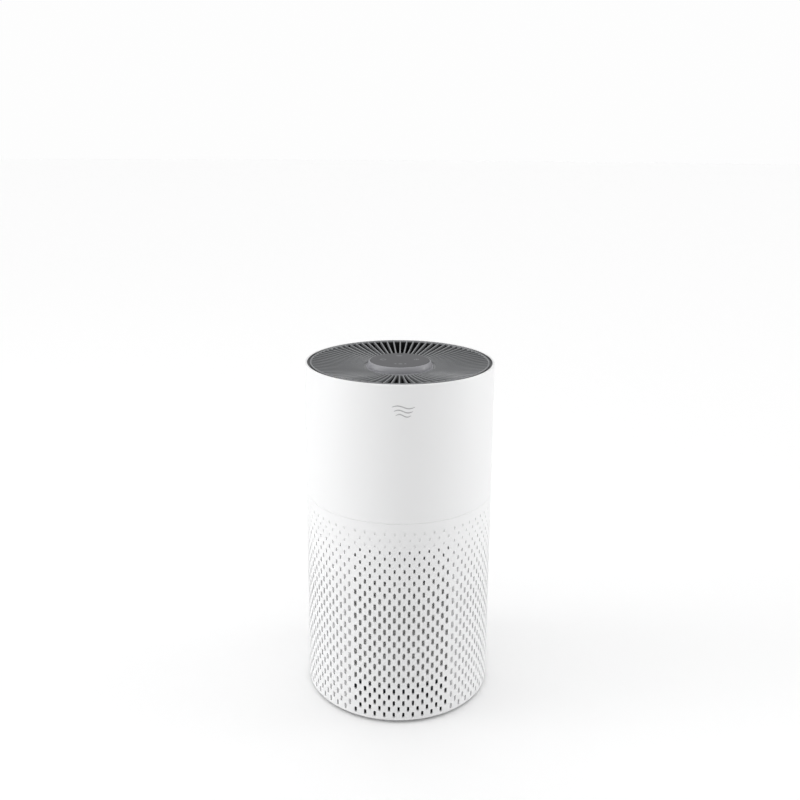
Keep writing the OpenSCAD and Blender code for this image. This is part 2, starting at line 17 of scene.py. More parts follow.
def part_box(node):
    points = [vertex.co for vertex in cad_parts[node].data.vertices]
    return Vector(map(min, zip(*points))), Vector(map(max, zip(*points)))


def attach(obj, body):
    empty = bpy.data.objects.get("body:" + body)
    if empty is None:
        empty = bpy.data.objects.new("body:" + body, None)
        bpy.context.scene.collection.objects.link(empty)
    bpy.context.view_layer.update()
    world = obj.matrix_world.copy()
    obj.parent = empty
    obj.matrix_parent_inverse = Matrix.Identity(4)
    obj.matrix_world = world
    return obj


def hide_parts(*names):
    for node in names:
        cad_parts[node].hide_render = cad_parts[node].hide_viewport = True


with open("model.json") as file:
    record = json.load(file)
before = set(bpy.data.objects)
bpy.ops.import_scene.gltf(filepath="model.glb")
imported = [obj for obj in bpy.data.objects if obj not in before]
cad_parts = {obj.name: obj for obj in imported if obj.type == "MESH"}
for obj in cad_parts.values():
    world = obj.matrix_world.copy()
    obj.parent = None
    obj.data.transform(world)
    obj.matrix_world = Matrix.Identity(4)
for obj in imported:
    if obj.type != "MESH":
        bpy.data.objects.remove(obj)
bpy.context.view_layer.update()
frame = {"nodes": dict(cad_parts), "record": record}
MM = 0.001
print("CAD nodes:", len(frame["nodes"]))

# %% [markdown]
# ## Sizes that everything shares
# The boxes of the CAD nodes give the driving sizes, rounded to a tenth of a millimetre because a
# tessellated circle is a hair narrower than the true one. Everything below is worked out from them,
# so that a new pack with other sizes still fits.

# %% Read the driving sizes
def node_radius(node):
    """Largest half width of a round CAD node, to a tenth of a millimetre."""
    low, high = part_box(node)
    return round(max(high.x, high.y, -low.x, -low.y), 4)


def node_heights(node):
    """Lowest and highest z of a CAD node, to a tenth of a millimetre."""
    low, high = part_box(node)
    return round(low.z, 4), round(high.z, 4)


BODY_R = node_radius("upper_shell")
WALL = 2.4 * MM
INNER_R = BODY_R - WALL
SHELL_LOW, SEAM_Z = node_heights("lower_shell")
RIM_Z = node_heights("upper_shell")[1]
PANEL_R = node_radius("touch_panel")
PANEL_LOW, PANEL_TOP = node_heights("touch_panel")
print("body radius", BODY_R, "seam", SEAM_Z, "rim", RIM_Z)

# %% [markdown]
# ## Two ways to make a surface
# A moulded ring, a cap or a shell is a profile turned about the upright axis, so one function turns a
# list of (radius, height) points. Everything else starts as loose faces, which are welded where their
# corners meet: points closer than a ten-thousandth of a millimetre become one, so the seams close.

# %% Mesh helpers
def welded_mesh(name, verts, faces):
    """Mesh whose meeting corners are one vertex and whose sides face outwards."""
    mesh = bpy.data.meshes.new(name)
    mesh.from_pydata(np.asarray(verts).tolist(), [], faces)
    work = bmesh.new()
    work.from_mesh(mesh)
    bmesh.ops.remove_doubles(work, verts=work.verts, dist=1e-7)
    bmesh.ops.recalc_face_normals(work, faces=work.faces)
    work.to_mesh(mesh)
    work.free()
    return mesh


def in_scene(name, data):
    """Object for a mesh, a lamp or a camera, linked into the scene."""
    piece = bpy.data.objects.new(name, data)
    bpy.context.scene.collection.objects.link(piece)
    return piece


def rows_of_quads(rows, count, closed=True):
    """Quads between neighbouring rows of count points; in closed rows the last point meets the first."""
    r, i = np.meshgrid(np.arange(rows - 1), np.arange(count if closed else count - 1), indexing="ij")
    j = (i + 1) % count
    below, above = r * count, (r + 1) * count
    return np.stack([below + i, below + j, above + j, above + i], -1).reshape(-1, 4)


def tube_faces(rows, count):
    """Quads of a tube made of closed rows, and one face over each of its ends."""
    ends = [list(range(count))[::-1], list(range((rows - 1) * count, rows * count))]
    return rows_of_quads(rows, count).tolist() + ends


def copies(faces, count, points):
    """The faces of one shape, repeated for every copy, where each copy has this many points."""
    return [[index + points * copy for index in face] for copy in range(count) for face in faces]


def turned(profile, steps=180):
    """Vertices and quads of a closed profile of (radius, height) points, turned about the z axis.

    Point i at angle a lies at (radius_i cos a, radius_i sin a, height_i)."""
    profile = np.asarray(profile, float)
    angle = 2 * np.pi * np.arange(steps) / steps
    ring = np.stack([np.cos(angle), np.sin(angle)], 1)
    xy = profile[None, :, :1] * ring[:, None, :]
    z = np.broadcast_to(profile[None, :, 1:], xy.shape[:2] + (1,))
    verts = np.concatenate([xy, z], 2).reshape(-1, 3)
    count = len(profile)
    a, i = np.meshgrid(np.arange(steps), np.arange(count), indexing="ij")
    b, j = (a + 1) % steps, (i + 1) % count
    quads = np.stack([a * count + i, b * count + i, b * count + j, a * count + j], -1)
    on_axis = (profile[i, 0] < 1e-9) & (profile[j, 0] < 1e-9)
    return verts, quads[~on_axis].tolist()


def arc(centre_r, centre_z, radius, start, end, steps=6):
    """Points of an arc in the (radius, height) plane, from one angle to another in degrees."""
    angle = np.radians(np.linspace(start, end, steps + 1))
    return [(centre_r + radius * math.cos(t), centre_z + radius * math.sin(t)) for t in angle]


def steps_from(radius, height, *steps):
    """Profile points at (outward, upward) steps, in millimetres, from a corner."""
    return [(radius + out * MM, height + rise * MM) for out, rise in steps]


def joined(parts):
    """One vertex array and one face list from several (vertices, faces) pairs."""
    verts, faces, offset = [], [], 0
    for part_verts, part_faces in parts:
        verts.append(np.asarray(part_verts, float))
        faces += [[index + offset for index in face] for face in part_faces]
        offset += len(part_verts)
    return np.concatenate(verts), faces


# %% [markdown]
# ## Shader groups
# Injection-moulded plastic is never perfectly even. A fine spark-eroded grain breaks up its
# highlights, and wide, faint clouds shift its colour and gloss a little. Both are node groups with
# named inputs, placed in each material with its own values, and both read Object coordinates, so they
# stay with the piece when it moves.

# %% Build the shared groups
def new_group(name, inputs, outputs):
    """Shader node group with (name, kind, default) inputs and (name, kind) outputs, of the kinds Color,
    Float and Vector."""
    group = bpy.data.node_groups.new(name, "ShaderNodeTree")
    for label, kind, value in inputs:
        item = group.interface.new_socket(name=label, in_out="INPUT", socket_type="NodeSocket" + kind)
        item.default_value = value
    for label, kind in outputs:
        group.interface.new_socket(name=label, in_out="OUTPUT", socket_type="NodeSocket" + kind)
    return group, group.nodes.new("NodeGroupInput"), group.nodes.new("NodeGroupOutput")


def set_inputs(node, **values):
    """Sets a node's inputs by name, where an underscore stands for a space."""
    for label, value in values.items():
        node.inputs[label.replace("_", " ")].default_value = value


def math_output(tree, kind, *values):
    """Output of a new math node, whose inputs are numbers or the sockets to link."""
    node = tree.nodes.new("ShaderNodeMath")
    node.operation = kind
    for socket, value in zip(node.inputs, values):
        if isinstance(value, (int, float)):
            socket.default_value = value
        else:
            tree.links.new(value, socket)
    return node.outputs[0]


def object_noise(tree, scale, **settings):
    """Noise on Object coordinates, with its scale from a socket."""
    coords = tree.nodes.new("ShaderNodeTexCoord")
    noise = tree.nodes.new("ShaderNodeTexNoise")
    set_inputs(noise, **settings)
    tree.links.new(coords.outputs["Object"], noise.inputs["Vector"])
    tree.links.new(scale, noise.inputs["Scale"])
    return noise.outputs["Fac"]


def make_clouds():
    """Wide soft noise that tints a colour and shifts its roughness."""
    group, given, result = new_group(
        "mould_clouds",
        [("Color", "Color", (0.8, 0.8, 0.8, 1)), ("Scale", "Float", 9.0),
         ("Tint", "Float", 0.02), ("Roughness", "Float", 0.4),
         ("Gloss Shift", "Float", 0.04)],
        [("Color", "Color"), ("Roughness", "Float")])
    noise = object_noise(group, given.outputs["Scale"], Detail=3.0)
    centred = math_output(group, "SUBTRACT", noise, 0.5)
    dimmed = math_output(group, "MULTIPLY_ADD", centred, given.outputs["Tint"], 1.0)
    tinted = group.nodes.new("ShaderNodeVectorMath")
    tinted.operation = "SCALE"
    group.links.new(given.outputs["Color"], tinted.inputs[0])
    group.links.new(dimmed, tinted.inputs["Scale"])
    rough = math_output(group, "MULTIPLY_ADD", centred, given.outputs["Gloss Shift"],
                        given.outputs["Roughness"])
    group.links.new(tinted.outputs[0], result.inputs["Color"])
    group.links.new(rough, result.inputs["Roughness"])
    return group


def make_grain():
    """Fine moulding grain as a bumped normal."""
    group, given, result = new_group(
        "mould_grain",
        [("Scale", "Float", 900.0), ("Depth", "Float", 0.1)],
        [("Normal", "Vector"), ("Mask", "Float")])
    noise = object_noise(group, given.outputs["Scale"], Detail=2.0, Roughness=0.6)
    bump = group.nodes.new("ShaderNodeBump")
    set_inputs(bump, Distance=0.0002)
    group.links.new(given.outputs["Depth"], bump.inputs["Strength"])
    group.links.new(noise, bump.inputs["Height"])
    group.links.new(bump.outputs["Normal"], result.inputs["Normal"])
    group.links.new(noise, result.inputs["Mask"])
    return group


def make_weave():
    """Plain weave: crossing threads as a height and a mask, on the piece's own UV map."""
    group, given, result = new_group(
        "plain_weave",
        [("Threads Across", "Float", 400.0), ("Threads Up", "Float", 150.0)],
        [("Height", "Float"), ("Mask", "Float")])
    coords = group.nodes.new("ShaderNodeTexCoord")
    split = group.nodes.new("ShaderNodeSeparateXYZ")
    group.links.new(coords.outputs["UV"], split.inputs[0])
    waves = []
    for axis, count in (("X", "Threads Across"), ("Y", "Threads Up")):
        turns = math_output(group, "MULTIPLY", split.outputs[axis], given.outputs[count])
        wave = math_output(group, "SINE", math_output(group, "MULTIPLY", turns, math.tau))
        waves.append(math_output(group, "ABSOLUTE", wave))
    group.links.new(math_output(group, "MAXIMUM", *waves), result.inputs["Height"])
    group.links.new(math_output(group, "MINIMUM", *waves), result.inputs["Mask"])
    return group


CLOUDS = make_clouds()
GRAIN = make_grain()
WEAVE = make_weave()
print("groups:", [g.name for g in bpy.data.node_groups])

# %% [markdown]
# ## Finishes
# One small function wires the two groups into a Principled shader. What is the same all over a
# surface, such as its specular level or its coat, is set on the shader's own sockets.

# %% Material maker
FINISHES = {}


def new_finish(name, color):
    """Empty finish of this name: its node tree and its Principled shader."""
    material = bpy.data.materials.new(name)
    material.use_nodes = True
    material.diffuse_color = (*color, 1)
    FINISHES[name] = material
    return material.node_tree, material.node_tree.nodes["Principled BSDF"]


def place_group(tree, group, **values):
    """Node that places a shared group in a finish, with its own input values."""
    node = tree.nodes.new("ShaderNodeGroup")
    node.node_tree = group
    set_inputs(node, **values)
    return node


def plastic(name, color, rough, grain=900.0, depth=0.12, tint=0.03, shift=0.06, clouds=9.0, **sockets):
    """Moulded plastic, rubber or metal: clouds drive colour and roughness, grain drives the normal."""
    tree, shader = new_finish(name, color)
    cloud = place_group(tree, CLOUDS, Color=(*color, 1), Scale=clouds, Tint=tint, Roughness=rough,
                        Gloss_Shift=shift)
    fine = place_group(tree, GRAIN, Scale=grain, Depth=depth)
    tree.links.new(cloud.outputs["Color"], shader.inputs["Base Color"])
    tree.links.new(cloud.outputs["Roughness"], shader.inputs["Roughness"])
    tree.links.new(fine.outputs["Normal"], shader.inputs["Normal"])
    set_inputs(shader, **sockets)


plastic("shell_white", (0.83, 0.832, 0.835), 0.38, grain=1400, depth=0.05, tint=0.01)
plastic("grille_grey", (0.22, 0.225, 0.232), 0.36, grain=1200, depth=0.1)
# trim_dark is near black; it also serves as painted shade on the plain shell's inner wall and the grille's
# lower faces.
plastic("trim_dark", (0.012, 0.012, 0.013), 0.6, grain=1000, depth=0.15, Specular_IOR_Level=0.3)
plastic("groove_grey", (0.095, 0.097, 0.1), 0.5, grain=1000, depth=0.12)
plastic("puck_grey", (0.33, 0.33, 0.35), 0.40, grain=1000, depth=0.12)
plastic("panel_grey", (0.102, 0.103, 0.108), 0.5, grain=1300, depth=0.06, tint=0.02, Specular_IOR_Level=0.3)
plastic("emblem_grey", (0.42, 0.42, 0.43), 0.30, grain=1200, depth=0.05)
plastic("icon_print", (0.30, 0.31, 0.32), 0.5, grain=1500, depth=0.02)
plastic("foot_rubber", (0.03, 0.03, 0.03), 0.72, grain=500, depth=0.3, shift=0.1)
plastic("cap_foam", (0.05, 0.06, 0.075), 0.6, grain=420, depth=0.35, tint=0.1)
plastic("gasket_foam", (0.035, 0.035, 0.038), 0.88, grain=260, depth=0.7, tint=0.15)
plastic("carbon_cloth", (0.02, 0.02, 0.022), 0.9, grain=700, depth=0.9, tint=0.3)
plastic("inner_plastic", (0.62, 0.62, 0.60), 0.45, grain=800, depth=0.15)
plastic("fan_plastic", (0.30, 0.31, 0.33), 0.42, grain=900, depth=0.15, tint=0.06)
plastic("steel", (0.56, 0.56, 0.57), 0.3, grain=600, depth=0.1, Metallic=1.0)
plastic("shaft_steel", (0.62, 0.62, 0.63), 0.2, grain=1500, depth=0.08, Metallic=1.0)
plastic("motor_steel", (0.11, 0.115, 0.12), 0.4, grain=700, depth=0.2)
plastic("copper", (0.56, 0.22, 0.09), 0.34, grain=350, depth=0.6, Metallic=0.9)
plastic("damper_rubber", (0.02, 0.02, 0.02), 0.8, grain=500, depth=0.3)
plastic("board_green", (0.02, 0.10, 0.035), 0.3, grain=300, depth=0.15, tint=0.2)
plastic("pin_brass", (0.70, 0.53, 0.24), 0.25, grain=900, depth=0.05, Metallic=1.0)
plastic("light_clear", (0.85, 0.87, 0.9), 0.35, grain=900, depth=0.1, Transmission_Weight=0.5)
print("finishes:", len(FINISHES))

# %% [markdown]
# ### Filter paper, nylon net and ribbon
# The pleated paper is a felt of glass fibres: off-white, quite rough, with short fibres as fine bumps
# and faint clouds of dust. The net is plain nylon, because its strands are real ones. The ribbon is
# woven, so its threads follow the piece's own UV map.

# %% Paper and woven finishes
def woven(name, color, across, up, rough=0.75, shade=0.5):
    """Woven fabric: the weave group gives the height for a bump, and painted shade darkens the gaps between
    threads.
    """
    tree, shader = new_finish(name, color)
    set_inputs(shader, Roughness=rough, Sheen_Weight=0.25)
    weave = place_group(tree, WEAVE, Threads_Across=across, Threads_Up=up)
    ramp = tree.nodes.new("ShaderNodeMix")
    ramp.data_type = "RGBA"
    ramp.inputs["A"].default_value = (*[c * shade for c in color], 1)
    ramp.inputs["B"].default_value = (*color, 1)
    bump = tree.nodes.new("ShaderNodeBump")
    set_inputs(bump, Strength=0.6, Distance=0.0004)
    tree.links.new(weave.outputs["Height"], ramp.inputs["Factor"])
    tree.links.new(ramp.outputs["Result"], shader.inputs["Base Color"])
    tree.links.new(weave.outputs["Height"], bump.inputs["Height"])
    tree.links.new(bump.outputs["Normal"], shader.inputs["Normal"])


plastic("media_paper", (0.86, 0.86, 0.83), 0.9, grain=520, depth=0.5, tint=0.12, clouds=30)
plastic("mesh_nylon", (0.80, 0.80, 0.79), 0.5, grain=900, depth=0.2)
plastic("lint_fleece", (0.84, 0.84, 0.83), 0.95, grain=620, depth=0.5, tint=0.08, clouds=45)
woven("tab_ribbon", (0.05, 0.13, 0.36), 9, 22)
print("finishes:", len(FINISHES))


def finish_piece(piece, name):
    """Gives a piece one of the finishes."""
    piece.data.materials.clear()
    piece.data.materials.append(FINISHES[name])


def second_finish(piece, name, chosen):
    """Gives a second finish to the faces for which chosen(radius, height) of their centres is true."""
    centre = np.zeros(len(piece.data.polygons) * 3)
    piece.data.polygons.foreach_get("center", centre)
    centre = centre.reshape(-1, 3)
    mask = chosen(np.hypot(centre[:, 0], centre[:, 1]), centre[:, 2])
    piece.data.materials.append(FINISHES[name])
    piece.data.polygons.foreach_set("material_index", mask.astype(np.int32))
    print(piece.name, "faces in", name + ":", int(mask.sum()))


REPLACED = set()


def new_piece(name, surface, slot, body, replaces=(), crease=35.0, finish=None):
    """Makes a piece from a (vertices, faces) pair, smooth up to a crease angle, and finishes it."""
    mesh = welded_mesh(name, *surface)
    mesh.shade_smooth()
    mesh.set_sharp_from_angle(angle=math.radians(crease))
    piece = in_scene(name, mesh)
    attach(piece, body)
    if replaces:
        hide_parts(*replaces)
        REPLACED.update(replaces)
    finish_piece(piece, finish or slot)
    return piece


# %% [markdown]
# ## The intake shell
# Each sixth of the shell is moulded by one slide of the tool, so its slots are all cut along that
# sector's own direction. Straight on they look open; towards the sector's edges their lit side walls
# show. Twenty columns are spread evenly across each sector, and each second column is raised by half a
# row. The slots are cells of a lattice: every cell is a patch of outer skin with a stadium hole, the
# hole's walls, and a patch of inner skin. The half-row points on the cells' sides let neighbours meet.

# %% Slot lattice sizes
SECTORS = 6
SECTOR_EDGE = BODY_R * math.sin(math.pi / SECTORS)
COLUMNS = 20
COLUMN_PITCH = 0.0493 * BODY_R
HALF_ROW = 7.37 * MM
FIRST_ROW_Z = SHELL_LOW + 6.7 * MM
TOP_ROW = 30
FIRST_DIMPLE_ROW = 28
DIMPLE_DEPTH = 0.7 * MM
EDGE_BEVEL = 0.5 * MM
SLOT_W, SLOT_H = 3.1 * MM, 7.6 * MM
ARC_POINTS = 7


def lattice_z(j):
    """Height of half-row j; the row below the first is the shell's lower edge."""
    z = FIRST_ROW_Z + HALF_ROW * np.asarray(j, float)
    return np.maximum(z, SHELL_LOW + EDGE_BEVEL)


def slot_size(k):
    """Width and height of the slots in half-row k: they narrow a little near the floor, keep their full
    size to half height, and shrink to small dots under the seam."""
    k = np.asarray(k, float)
    fade = np.clip((k - 17) / 11, 0, 1) ** 1.2
    foot = 1 - 0.12 * np.clip((8 - k) / 8, 0, 1)
    return (SLOT_W - 1.4 * MM * fade) * foot, (SLOT_H - 4.2 * MM * fade) * foot


def side_u(column):
    """Sideways place of the border left of a column; the outermost borders are the sector's edges."""
    u = (np.asarray(column, float) - COLUMNS / 2) * COLUMN_PITCH
    u = np.where(np.asarray(column) >= COLUMNS, SECTOR_EDGE, u)
    return np.where(np.asarray(column) <= 0, -SECTOR_EDGE, u)


def wrap(u, z, radius, sector):
    """Sector coordinates on the cylinder: a point at sideways place u lies at angle asin(u / radius)
    from the sector's middle, and a point on the sector's edge lies at exactly 30 degrees."""
    u = np.asarray(u, float)
    on_edge = np.abs(np.abs(u) - SECTOR_EDGE) < 1e-9
    angle = np.where(on_edge, np.sign(u) * math.pi / SECTORS, np.arcsin(np.clip(u / radius, -1, 1)))
    angle = angle + 2 * np.pi * sector / SECTORS - np.pi / 2
    return np.stack([radius * np.cos(angle), radius * np.sin(angle), np.broadcast_to(z, u.shape)], -1)


# %% [markdown]
# A cell's skin is the ring between its six border points and the fourteen points of the hole. Each
# border point is joined to the stretch of the hole nearest to it, which takes twenty triangles.

# %% Faces of one cell
BORDER_SPANS = [(0, 3), (3, 6), (6, 7), (7, 10), (10, 13), (13, 14)]
BORDER_POINTS = len(BORDER_SPANS)
HOLE_POINTS = 2 * ARC_POINTS
SKIN_POINTS = BORDER_POINTS + HOLE_POINTS


def ring_faces(start):
    """Triangles between a skin's border and the hole that follows it, both counter-clockwise."""
    hole = start + BORDER_POINTS
    faces = []
    for b, (first, last) in enumerate(BORDER_SPANS):
        faces += [[start + b, hole + (h + 1) % HOLE_POINTS, hole + h] for h in range(first, last)]
        faces.append([start + b, start + (b + 1) % BORDER_POINTS, hole + last % HOLE_POINTS])
    return faces


def cell_faces(blind):
    """Faces of a cell: the outer skin and the hole's walls, then the inner skin of an open slot, or
    the floor and the plain inner skin of a blind dimple."""
    rim, back = BORDER_POINTS, SKIN_POINTS + BORDER_POINTS
    walls = [[rim + h, rim + (h + 1) % HOLE_POINTS, back + (h + 1) % HOLE_POINTS, back + h]
             for h in range(HOLE_POINTS)]
    if blind:
        inner = [list(range(back, back + HOLE_POINTS)), list(range(SKIN_POINTS, back))[::-1]]
    else:
        inner = [face[::-1] for face in ring_faces(SKIN_POINTS)]
    return ring_faces(0) + walls + inner


def hole_outline(u, z, w, h):
    """Outline of each slot: two ends h apart, w wide, whose sine and cosine are raised to the power 0.7
    with their signs kept, so that the ends are a little squarer than half circles."""
    low = np.radians(np.linspace(180, 360, ARC_POINTS))
    high = np.radians(np.linspace(0, 180, ARC_POINTS))
    rise = (h - w)[:, None] / 2
    turn = np.concatenate([low, high])
    across = np.sign(np.cos(turn).round(9)) * np.abs(np.cos(turn)) ** 0.7
    up = np.sign(np.sin(turn).round(9)) * np.abs(np.sin(turn)) ** 0.7
    shift = np.where(np.arange(2 * ARC_POINTS) < ARC_POINTS, -1, 1)
    return (u[:, None] + across[None, :] * w[:, None] / 2,
            z[:, None] + up[None, :] * w[:, None] / 2 + shift[None, :] * rise)


# %% [markdown]
# At the back, near the floor, the mains inlet looks out through a square window. The cells there make
# way for a patch whose border and window have the same number of points, so plain quads join them.

# %% Collect the cells
WINDOW_COLUMNS = (7, 13)
WINDOW_ROWS = (1, 5)
BACK_SECTOR = 3
WINDOW_HALF = 11.75 * MM
WINDOW_Z = (SHELL_LOW + 16.05 * MM, SHELL_LOW + 33.95 * MM)


def in_window(sector, column, row):
    """Whether the cell of this column and half-row gives way to the inlet's window."""
    first, last = WINDOW_COLUMNS
    low, high = WINDOW_ROWS
    return sector == BACK_SECTOR and first <= column < last and low <= row <= high


def cells_of(sector):
    """(column, half-row) of every cell of a sector."""
    every = [(c, k) for c in range(COLUMNS) for k in range(c % 2, TOP_ROW + 1, 2)]
    return [ck for ck in every if not in_window(sector, *ck)]


def sector_cells(sector):
    """Vertices and faces of all slot and dimple cells of a sector."""
    column, row = np.array(cells_of(sector)).T
    left, right = side_u(column), side_u(column + 1)
    low, middle, high = lattice_z(row - 1), lattice_z(row), lattice_z(row + 1)
    border_u = np.stack([left, right, right, right, left, left], 1)
    border_z = np.stack([low, low, middle, high, high, middle], 1)
    width, height = slot_size(row)
    hole_u, hole_z = hole_outline((column - (COLUMNS - 1) / 2) * COLUMN_PITCH, middle, width, height)
    blind = row >= FIRST_DIMPLE_ROW
    depth = np.where(blind, BODY_R - DIMPLE_DEPTH, INNER_R)[:, None]
    points = np.concatenate([
        wrap(border_u, border_z, BODY_R, sector), wrap(hole_u, hole_z, BODY_R, sector),
        wrap(border_u, border_z, INNER_R, sector), wrap(hole_u, hole_z, depth, sector)], 1)
    shapes = [cell_faces(False), cell_faces(True)]
    faces = [[index + 2 * SKIN_POINTS * cell for index in face]
             for cell, is_blind in enumerate(blind) for face in shapes[int(is_blind)]]
    return points.reshape(-1, 3), faces


def strip(sector, column, low_z, high_z):
    """Outer and inner skin of one column between two heights."""
    u = np.array([side_u(column), side_u(column + 1), side_u(column + 1), side_u(column)])
    z = np.array([low_z, low_z, high_z, high_z])
    points = np.concatenate([wrap(u, z, BODY_R, sector), wrap(u, z, INNER_R, sector)])
    return points, [[0, 1, 2, 3], [7, 6, 5, 4]]


def sector_strips(sector):
    """Plain skin below and above the cells, and beside the window, where the columns end unevenly."""
    parts = []
    for column in range(COLUMNS):
        raised = column % 2
        spans = [(TOP_ROW, TOP_ROW + 1), (-1, 0)] if raised else []
        if raised and in_window(sector, column, WINDOW_ROWS[0]):
            spans += [(WINDOW_ROWS[0] - 1, WINDOW_ROWS[0]), (WINDOW_ROWS[1], WINDOW_ROWS[1] + 1)]
        parts += [strip(sector, column, float(lattice_z(a)), float(lattice_z(b))) for a, b in spans]
        parts.append(strip(sector, column, float(lattice_z(TOP_ROW + 1)), SEAM_Z - EDGE_BEVEL))
    return parts


def edge_ring(z_flat, z_bevel):
    """Bevel and flat edge between the outer and the inner skin, at the foot or at the seam."""
    parts = []
    u = side_u(np.arange(COLUMNS + 1))
    scale = (BODY_R - EDGE_BEVEL) / BODY_R
    for sector in range(SECTORS):
        outer = wrap(u, z_bevel, BODY_R, sector)
        bevel = outer * [scale, scale, 1]
        bevel[:, 2] = z_flat
        inside = [wrap(u, z, INNER_R, sector) for z in (z_flat, z_bevel)]
        rows = np.stack([outer, bevel, *inside])
        parts.append((rows.reshape(-1, 3), rows_of_quads(4, COLUMNS + 1, closed=False).tolist()))
    return parts


def loop_points(across, upright):
    """Closed loop of points: along its foot, up one side, back along its top and down the other."""
    foot, sides, top = upright[0], upright[1:-1], upright[-1]
    return np.array([(a, foot) for a in across] + [(across[-1], b) for b in sides]
                    + [(a, top) for a in across[::-1]] + [(across[0], b) for b in sides[::-1]])


def window_patch():
    """Skin round the inlet's window: quads from the lattice border to the window, its walls, and the
    same skin inside."""
    first, last = WINDOW_COLUMNS
    low, high = WINDOW_ROWS
    across, upright = side_u(np.arange(first, last + 1)), lattice_z(np.arange(low, high + 1))
    border = loop_points(across, upright)
    window = loop_points(np.linspace(-WINDOW_HALF, WINDOW_HALF, len(across)),
                         np.linspace(*WINDOW_Z, len(upright)))
    skins = ((border, BODY_R), (window, BODY_R), (window, INNER_R), (border, INNER_R))
    loops = [wrap(*points.T, radius, BACK_SECTOR) for points, radius in skins]
    return np.concatenate(loops), rows_of_quads(4, len(border)).tolist()


# %% Make the intake shell
shell_parts = [sector_cells(s) for s in range(SECTORS)]
for s in range(SECTORS):
    shell_parts += sector_strips(s)
shell_parts += edge_ring(SHELL_LOW, SHELL_LOW + EDGE_BEVEL) + edge_ring(SEAM_Z, SEAM_Z - EDGE_BEVEL)
shell_parts.append(window_patch())
intake_shell = new_piece("intake_shell", joined(shell_parts), "shell_white", "housing",
                         ["lower_shell"], crease=40)
print("intake shell faces:", len(intake_shell.data.polygons))

# %% [markdown]
# Inside, near the seam, the shell carries a ledge that the fan's floor plate rests on. It is a small
# turned ring, sunk a little into the wall so that no gap shows.

# %% Add the plate ledge
plate_low = node_heights("plenum_plate")[0]
LEDGE_W = 5 * MM
ledge = turned([(INNER_R + 0.4 * MM, plate_low - 6 * MM), (INNER_R + 0.4 * MM, plate_low),
                (INNER_R - LEDGE_W, plate_low), (INNER_R - LEDGE_W, plate_low - 3 * MM)])
plate_ledge = new_piece("plate_ledge", ledge, "shell_white", "housing", ["lower_shell"])
print("ledge faces:", len(plate_ledge.data.polygons))

# %% [markdown]
# ## The plain shell
# Above the seam the shell is smooth. Its rim is rounded widely outside and a little inside, which
# gives the thin bright line round the grille. A skirt reaches down into the intake shell, and a small ledge
# inside carries the grille's ring.

# %% Make the plain shell
SKIRT_R = node_radius("rim_ring")
SKIRT_LOW = node_heights("upper_shell")[0]
SHELF_Z = node_heights("rim_ring")[0]
RIM_ROUND = 1.2 * MM
shell_profile = (
    [(BODY_R - EDGE_BEVEL / 2, SEAM_Z), (BODY_R, SEAM_Z + EDGE_BEVEL / 2)]
    + arc(BODY_R - RIM_ROUND, RIM_Z - RIM_ROUND, RIM_ROUND, 0, 90, 8)
    + steps_from(INNER_R, RIM_Z, (0.6, 0), (0.15, -0.15), (0, -0.6))
    + steps_from(INNER_R, SHELF_Z, (0, 0), (-4, 0), (-4, -3), (0, -8))
    + [(INNER_R, SEAM_Z + 4 * MM), (SKIRT_R - 2 * MM, SEAM_Z + MM),
       (SKIRT_R - 2 * MM, SKIRT_LOW), (SKIRT_R, SKIRT_LOW), (SKIRT_R, SEAM_Z)])
plain_shell = new_piece("plain_shell", turned(shell_profile, 240), "shell_white", "housing",
                        ["upper_shell"], crease=30)
# Painted shade: the shell's inner wall between the seam and the rim gets the near-black trim finish, so
# that it reads black through the grille's gaps.
second_finish(plain_shell, "trim_dark",
              lambda r, z: (r < INNER_R + 0.05 * MM) & (z > SEAM_Z) & (z < RIM_Z - 2 * MM))
print("plain shell faces:", len(plain_shell.data.polygons))

# %% [markdown]
# ## The rim ring
# A dark ring lines the shell behind the rim. A narrow groove runs round it, between a thin outer wall
# and the bead of the grille, and reads as a fine dark line.

# %% Make the rim ring
GROOVE_R = SKIRT_R - 0.75 * MM
GROOVE_IN = GROOVE_R - 2 * MM
BEAD_R = GROOVE_IN - 0.15 * MM
BEAD_W = 2.2 * MM
ring_profile = (
    [(SKIRT_R, SHELF_Z)] + steps_from(SKIRT_R, RIM_Z, (0, -1), (-0.15, -0.8))
    + steps_from(GROOVE_R, RIM_Z, (0.15, -0.8), (0, -1), (0, -2))
    + [(GROOVE_IN, RIM_Z - 2 * MM), (GROOVE_IN, SHELF_Z + 3 * MM)]
    + steps_from(GROOVE_IN - BEAD_W, SHELF_Z, (0, 3), (0, 0)))
rim_ring = new_piece("rim_groove_ring", turned(ring_profile, 240), "trim_dark", "housing", ["rim_ring"],
                     finish="groove_grey")
print("rim ring faces:", len(rim_ring.data.polygons))

# %% [markdown]
# ## The outlet grille
# The grille is one grey moulding: a bead at the rim, a hub ring, and straight fins between them. The
# fins' tops dip from the rim towards the hub like a shallow dish. A fin is a grid of stations along the
# radius and points round its section, whose two top edges are rounded, and all the fins come from one
# array turned by a row of angles. The faces more than a few millimetres below the fin tops, and the
# bead's lower faces, get a second, near-black material: painted shade, so that the gaps stay black.

# %% Fin surface
FINS = 76
FIN_T = 1.7 * MM
PAINTED_SHADE_DEPTH = 3 * MM
DISH = 6.5 * MM
HUB_R = 42.5 * MM
HUB_IN = HUB_R - 2.9 * MM
HUB_LOW = node_heights("top_grille")[0]
HUB_TOP = RIM_Z - 7.5 * MM
FIN_END = BEAD_R - BEAD_W + 0.5 * MM


def dish_height(r):
    """Height of the fin tops: rim height less the dish depth times 1 - t**1.38, where t runs from 0 at
    the hub to 1 at the bead."""
    t = np.clip((r - HUB_R) / (BEAD_R - BEAD_W - HUB_R), 0, 1)
    return RIM_Z - DISH * (1 - t ** 1.38)


